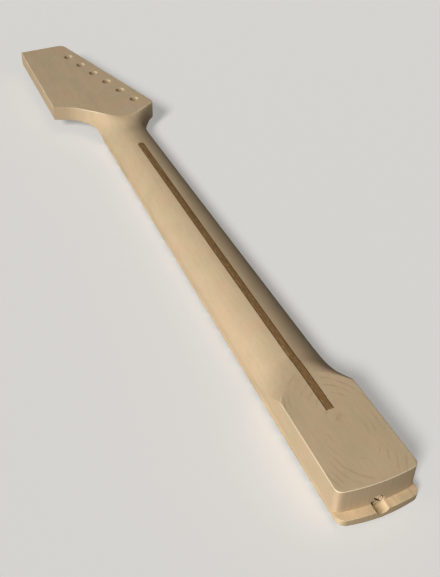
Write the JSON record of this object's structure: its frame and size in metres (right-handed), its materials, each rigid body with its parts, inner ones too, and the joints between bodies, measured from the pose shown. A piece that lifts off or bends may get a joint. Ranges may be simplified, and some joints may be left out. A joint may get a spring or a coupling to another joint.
{
  "type": "electric guitar neck",
  "caption": "Bolt-on electric guitar neck: rounded back with a dark centre stripe, flat square heel, fretted board, and an uncut paddle headstock with a row of tuner holes.",
  "frame": {"origin": "on the flat back of the heel, on the centre line, 38.1 mm from the heel's end", "axes": "+X along the neck towards the headstock tip, +Y towards the treble side, +Z out of the back of the neck; the frets face -Z"},
  "size_m": [0.6588, 0.0951, 0.0273],
  "materials": {
    "maple": "bare sanded maple",
    "board_maple": "bare sanded maple",
    "walnut": "bare sanded walnut",
    "nickel_silver": "drawn fret wire, semi-bright",
    "bone": "sanded bone",
    "black_plastic": "sanded flush",
    "rod_steel": "drawn bar",
    "plated_steel": "dull zinc plate"
  },
  "bodies": {
    "neck": {"neck_shaft": "maple", "fretboard": "board_maple", "fret_01": "nickel_silver", "fret_02": "nickel_silver", "fret_03": "nickel_silver", "fret_04": "nickel_silver", "fret_05": "nickel_silver", "fret_06": "nickel_silver", "fret_07": "nickel_silver", "fret_08": "nickel_silver", "fret_09": "nickel_silver", "fret_10": "nickel_silver", "fret_11": "nickel_silver", "fret_12": "nickel_silver", "fret_13": "nickel_silver", "fret_14": "nickel_silver", "fret_15": "nickel_silver", "fret_16": "nickel_silver", "fret_17": "nickel_silver", "fret_18": "nickel_silver", "fret_19": "nickel_silver", "fret_20": "nickel_silver", "fret_21": "nickel_silver", "fret_22": "nickel_silver", "string_nut": "bone", "face_dot_03": "black_plastic", "side_dot_03": "black_plastic", "face_dot_05": "black_plastic", "side_dot_05": "black_plastic", "face_dot_07": "black_plastic", "side_dot_07": "black_plastic", "face_dot_09": "black_plastic", "side_dot_09": "black_plastic", "face_dot_15": "black_plastic", "side_dot_15": "black_plastic", "face_dot_17": "black_plastic", "side_dot_17": "black_plastic", "face_dot_19": "black_plastic", "side_dot_19": "black_plastic", "face_dot_21": "black_plastic", "side_dot_21": "black_plastic", "face_dot_12_bass": "black_plastic", "side_dot_12_bass": "black_plastic", "face_dot_12_treble": "black_plastic", "side_dot_12_treble": "black_plastic", "back_stripe": "walnut", "headstock_plug": "walnut", "truss_rod": "rod_steel", "truss_rod_anchor": "rod_steel", "truss_rod_washer": "plated_steel"},
    "rod_nut": {"truss_rod_nut": "plated_steel"}
  },
  "joints": [
    {"name": "truss_rod_nut_turn", "type": "hinge", "parent": "neck", "child": "rod_nut", "pos_m": [-0.0375, 0, -0.0175], "axis": [1, 0, 0], "range_deg": [-180, 360]}
  ]
}
